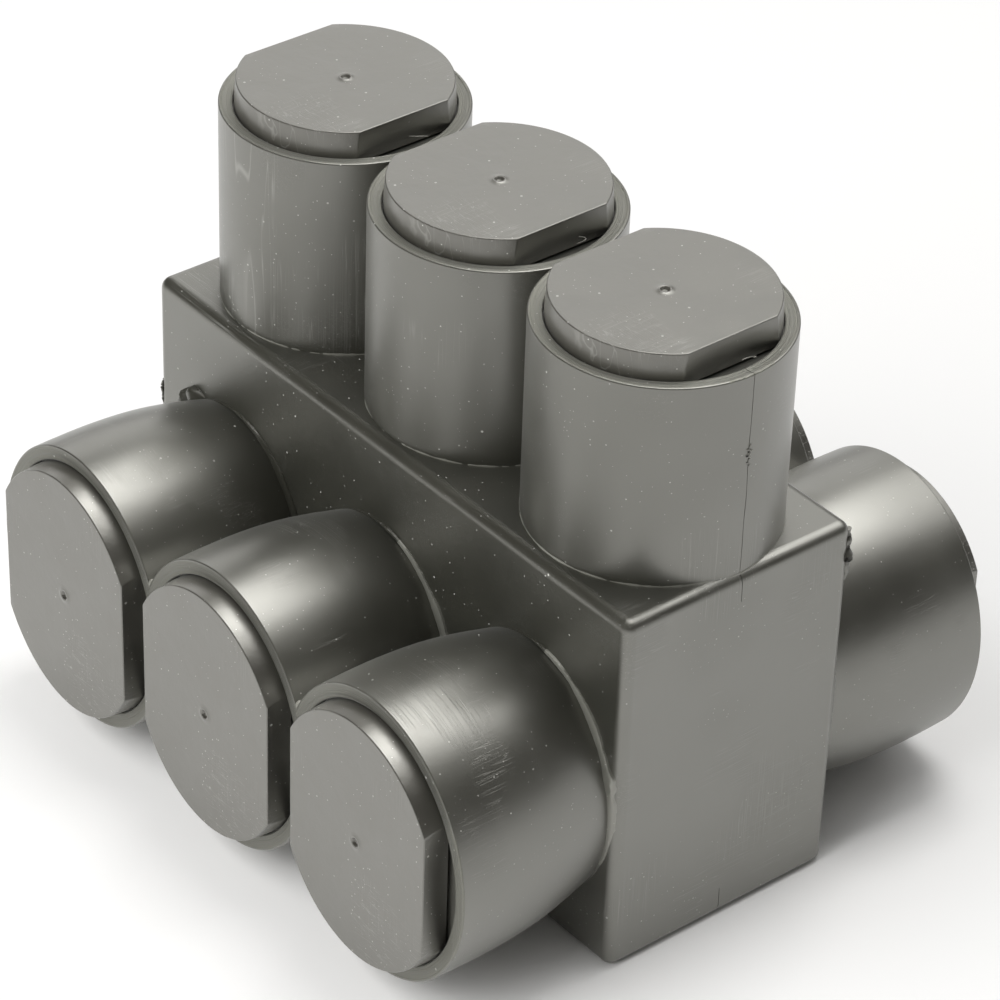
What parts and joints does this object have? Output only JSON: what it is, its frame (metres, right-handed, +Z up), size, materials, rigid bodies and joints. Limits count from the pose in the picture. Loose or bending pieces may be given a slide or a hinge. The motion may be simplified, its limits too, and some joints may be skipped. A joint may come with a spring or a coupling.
{
  "type": "insulated multi-tap connector",
  "caption": "Soft-covered aluminium wire connector with round screw towers on top and oval wire sleeves front and rear, each mouth closed by a push-in plug.",
  "frame": {"origin": "middle of the body's underside, on the surface it stands on", "axes": "+Z up along the screw towers, +X along the row of ports from port 1 to port 3, -Y out of the front sleeves and +Y out of the rear sleeves"},
  "size_m": [0.0796, 0.0734, 0.0692],
  "materials": {
    "cover": "black moulded soft plastic, satin",
    "plug": "black moulded soft plastic, matt",
    "block": "drilled and tapped bar, as machined",
    "screw": "turned, with a hex socket"
  },
  "bodies": {
    "connector": {"insulating_cover": "cover", "connector_block": "block"},
    "set_screw_1": {"set_screw_1": "screw"},
    "set_screw_2": {"set_screw_2": "screw"},
    "set_screw_3": {"set_screw_3": "screw"},
    "screw_plug_1": {"screw_plug_1": "plug"},
    "screw_plug_2": {"screw_plug_2": "plug"},
    "screw_plug_3": {"screw_plug_3": "plug"},
    "front_port_plug_1": {"front_port_plug_1": "plug"},
    "front_port_plug_2": {"front_port_plug_2": "plug"},
    "front_port_plug_3": {"front_port_plug_3": "plug"},
    "rear_port_plug_1": {"rear_port_plug_1": "plug"},
    "rear_port_plug_2": {"rear_port_plug_2": "plug"},
    "rear_port_plug_3": {"rear_port_plug_3": "plug"}
  },
  "joints": [
    {"name": "set_screw_1_travel", "type": "slide", "parent": "connector", "child": "set_screw_1", "axis": [0, 0, 1], "range_m": [-0.0134, 0]},
    {"name": "set_screw_2_travel", "type": "slide", "parent": "connector", "child": "set_screw_2", "axis": [0, 0, 1], "range_m": [-0.0134, 0]},
    {"name": "set_screw_3_travel", "type": "slide", "parent": "connector", "child": "set_screw_3", "axis": [0, 0, 1], "range_m": [-0.0134, 0]},
    {"name": "screw_plug_1_pull", "type": "slide", "parent": "connector", "child": "screw_plug_1", "axis": [0, 0, 1], "range_m": [0, 0.015]},
    {"name": "screw_plug_2_pull", "type": "slide", "parent": "connector", "child": "screw_plug_2", "axis": [0, 0, 1], "range_m": [0, 0.015]},
    {"name": "screw_plug_3_pull", "type": "slide", "parent": "connector", "child": "screw_plug_3", "axis": [0, 0, 1], "range_m": [0, 0.015]},
    {"name": "front_port_plug_1_pull", "type": "slide", "parent": "connector", "child": "front_port_plug_1", "axis": [0, -1, 0], "range_m": [0, 0.015]},
    {"name": "front_port_plug_2_pull", "type": "slide", "parent": "connector", "child": "front_port_plug_2", "axis": [0, -1, 0], "range_m": [0, 0.015]},
    {"name": "front_port_plug_3_pull", "type": "slide", "parent": "connector", "child": "front_port_plug_3", "axis": [0, -1, 0], "range_m": [0, 0.015]},
    {"name": "rear_port_plug_1_pull", "type": "slide", "parent": "connector", "child": "rear_port_plug_1", "axis": [0, 1, 0], "range_m": [0, 0.015]},
    {"name": "rear_port_plug_2_pull", "type": "slide", "parent": "connector", "child": "rear_port_plug_2", "axis": [0, 1, 0], "range_m": [0, 0.015]},
    {"name": "rear_port_plug_3_pull", "type": "slide", "parent": "connector", "child": "rear_port_plug_3", "axis": [0, 1, 0], "range_m": [0, 0.015]}
  ]
}
